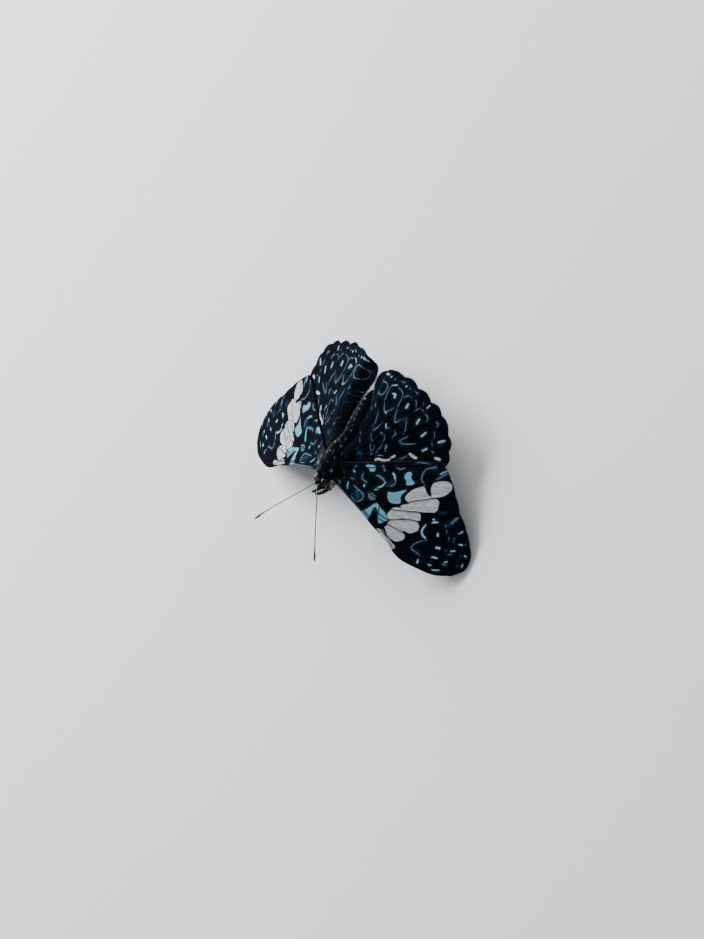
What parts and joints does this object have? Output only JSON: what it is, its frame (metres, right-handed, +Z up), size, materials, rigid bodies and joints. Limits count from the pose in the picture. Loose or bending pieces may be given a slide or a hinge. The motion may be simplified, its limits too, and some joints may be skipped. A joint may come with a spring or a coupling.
{
  "type": "arinome cracker butterfly",
  "caption": "Life-size resting butterfly with spread, drooping black wings marked with blue lines, rings and a pale forewing band.",
  "frame": {"origin": "on the floor, below the middle of the whole insect's box", "axes": "+X towards the butterfly's own left wings, -Y towards its head, +Z up"},
  "size_m": [0.0812, 0.0428, 0.0147],
  "materials": {
    "body": "matt black scales and short hair",
    "wing": "fine scales, black with light blue and cream marks, faint blue sheen",
    "leg": "dark brown chitin, slightly glossy",
    "eye": "glossy dark brown faceted eye"
  },
  "bodies": {
    "root": {"head": "body", "eye_left": "eye", "eye_right": "eye", "palp_left": "body", "palp_right": "body", "antenna_left": "body", "antenna_right": "body", "proboscis": "leg", "thorax": "body", "abdomen": "body", "forewing_left": "wing", "hindwing_left": "wing", "foreleg_left": "leg", "midleg_left": "leg", "hindleg_left": "leg", "forewing_right": "wing", "hindwing_right": "wing", "foreleg_right": "leg", "midleg_right": "leg", "hindleg_right": "leg"}
  },
  "joints": []
}
